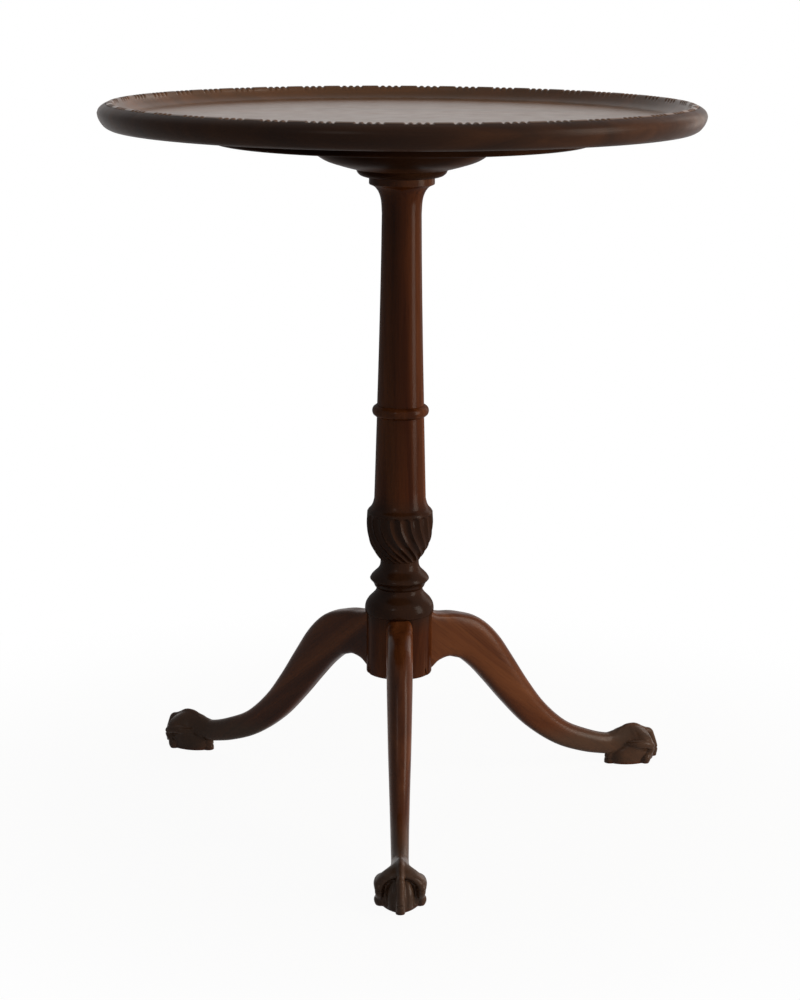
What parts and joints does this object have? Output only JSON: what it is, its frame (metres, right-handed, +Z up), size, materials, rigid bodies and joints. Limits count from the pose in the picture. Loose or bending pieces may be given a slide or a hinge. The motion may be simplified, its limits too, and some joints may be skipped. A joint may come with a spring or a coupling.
{
  "type": "tripod tea table",
  "caption": "Round tray-top tea table on a turned pillar with a spiral-fluted urn and cabriole legs that end in claw-and-ball feet.",
  "frame": {"origin": "On the pillar's axis at floor level", "axes": "+Z is up along the pillar, -Y is the bearing of the front leg, +X is to the right of someone who faces the front leg"},
  "size_m": [0.5759, 0.5855, 0.7],
  "materials": {
    "mahogany": "satin-gloss varnish on dark reddish-brown mahogany",
    "screw_steel": "dull, darkened with age"
  },
  "bodies": {
    "root": {"tray_top": "mahogany", "under_disc": "mahogany", "top_flange": "mahogany", "flange_screws": "screw_steel", "column": "mahogany", "tenon_wedge": "mahogany", "leg_front": "mahogany", "leg_right": "mahogany", "leg_left": "mahogany"}
  },
  "joints": []
}
